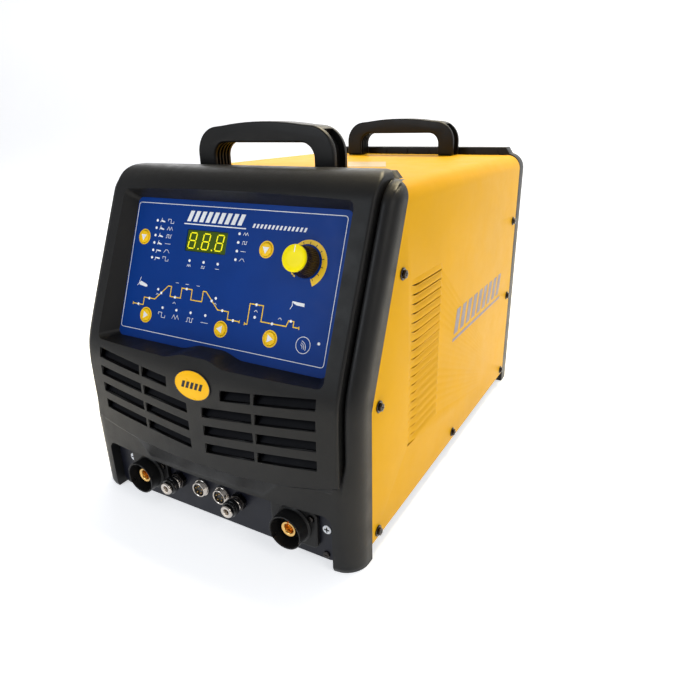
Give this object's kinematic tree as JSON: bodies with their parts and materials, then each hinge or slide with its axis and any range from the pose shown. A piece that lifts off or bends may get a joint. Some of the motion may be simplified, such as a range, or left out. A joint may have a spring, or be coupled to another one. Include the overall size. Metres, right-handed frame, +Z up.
{
  "type": "tig welding machine",
  "caption": "Portable inverter TIG welding machine: folded sheet cover between moulded bezels, leaning control panel with knob and buttons, carrying handles and a connector strip.",
  "frame": {"origin": "on the floor, under the centre of the machine's bounding box", "axes": "+X to the viewer's right when facing the control panel, +Y from the control panel to the rear, +Z up"},
  "size_m": [0.338, 0.5142, 0.3796],
  "materials": {
    "yellow_paint": "satin",
    "black_plastic": "fine texture",
    "black_sheet": "satin",
    "blue_film": "satin",
    "yellow_plastic": "gloss",
    "lens": "gloss",
    "nickel": "polished",
    "brass": "polished",
    "steel": "satin",
    "dark_steel": "satin",
    "aluminium": "satin",
    "circuit_board": "satin",
    "copper": "satin",
    "ferrite": "matt"
  },
  "bodies": {
    "machine": {"base_pan": "black_sheet", "connector_panel": "black_sheet", "front_bezel": "black_plastic", "outer_cover": "yellow_paint", "rear_panel": "black_sheet", "rear_bezel": "black_plastic", "front_handle": "black_plastic", "rear_handle": "black_plastic", "control_fascia": "blue_film", "display_lens": "lens", "led_display": "ferrite", "control_board": "circuit_board", "current_encoder": "steel", "oval_badge": "yellow_plastic", "dinse_body_minus": "black_plastic", "dinse_body_plus": "black_plastic", "dinse_contact_minus": "brass", "dinse_contact_plus": "brass", "coupling_body_left": "nickel", "coupling_body_right": "nickel", "control_socket_left": "nickel", "control_socket_right": "nickel", "fan_frame": "black_plastic", "fan_guard": "steel", "inverter_heatsink": "aluminium", "rectifier_heatsink": "aluminium", "power_board": "circuit_board", "transformer_core": "ferrite", "transformer_winding": "copper", "output_choke": "copper", "hf_ignition_unit": "black_plastic", "gas_valve": "brass", "gas_inlet": "brass", "cable_gland": "black_plastic", "mains_switch_body": "black_plastic", "cover_screw_left_front_upper": "dark_steel", "cover_screw_left_front_middle": "dark_steel", "cover_screw_left_front_lower": "dark_steel", "cover_screw_left_bottom_middle": "dark_steel", "cover_screw_left_rear_upper": "dark_steel", "cover_screw_left_rear_middle": "dark_steel", "cover_screw_left_rear_lower": "dark_steel", "cover_screw_right_front_upper": "dark_steel", "cover_screw_right_front_middle": "dark_steel", "cover_screw_right_front_lower": "dark_steel", "cover_screw_right_bottom_middle": "dark_steel", "cover_screw_right_rear_upper": "dark_steel", "cover_screw_right_rear_middle": "dark_steel", "cover_screw_right_rear_lower": "dark_steel"},
    "knob": {"knob_body": "black_plastic", "knob_cap": "yellow_plastic"},
    "fan": {"fan_rotor": "black_plastic"},
    "mains_switch": {"mains_switch_lever": "black_plastic"},
    "left_sleeve": {"coupling_sleeve_left": "black_plastic"},
    "right_sleeve": {"coupling_sleeve_right": "black_plastic"},
    "mode_button": {"mode_button": "yellow_plastic"},
    "output_button": {"output_button": "yellow_plastic"},
    "pulse_button": {"pulse_button": "yellow_plastic"},
    "parameter_button": {"parameter_button": "yellow_plastic"},
    "memory_button": {"memory_button": "yellow_plastic"}
  },
  "joints": [
    {"name": "current_knob_turn", "type": "hinge", "parent": "machine", "child": "knob", "pos_m": [0.0873, -0.18479, 0.26633], "axis": [0, -0.9253, 0.3794], "range_deg": [-150, 150]},
    {"name": "mode_button_press", "type": "slide", "parent": "machine", "child": "mode_button", "axis": [0, 0.9253, -0.3794], "range_m": [0, 0.0008], "stiffness_N_per_m": 500},
    {"name": "output_button_press", "type": "slide", "parent": "machine", "child": "output_button", "axis": [0, 0.9253, -0.3794], "range_m": [0, 0.0008], "stiffness_N_per_m": 500},
    {"name": "pulse_button_press", "type": "slide", "parent": "machine", "child": "pulse_button", "axis": [0, 0.9253, -0.3794], "range_m": [0, 0.0008], "stiffness_N_per_m": 500},
    {"name": "parameter_button_press", "type": "slide", "parent": "machine", "child": "parameter_button", "axis": [0, 0.9253, -0.3794], "range_m": [0, 0.0008], "stiffness_N_per_m": 500},
    {"name": "memory_button_press", "type": "slide", "parent": "machine", "child": "memory_button", "axis": [0, 0.9253, -0.3794], "range_m": [0, 0.0008], "stiffness_N_per_m": 500},
    {"name": "fan_spin", "type": "hinge", "parent": "machine", "child": "fan", "pos_m": [0, 0.1958, 0.19], "axis": [0, 1, 0], "continuous": true},
    {"name": "mains_switch_turn", "type": "hinge", "parent": "machine", "child": "mains_switch", "pos_m": [-0.105, 0.222, 0.27], "axis": [0, 1, 0], "range_deg": [0, 90]},
    {"name": "left_sleeve_slide", "type": "slide", "parent": "machine", "child": "left_sleeve", "axis": [0, 1, 0], "range_m": [0, 0.0035], "stiffness_N_per_m": 400},
    {"name": "right_sleeve_slide", "type": "slide", "parent": "machine", "child": "right_sleeve", "axis": [0, 1, 0], "range_m": [0, 0.0035], "stiffness_N_per_m": 400}
  ]
}
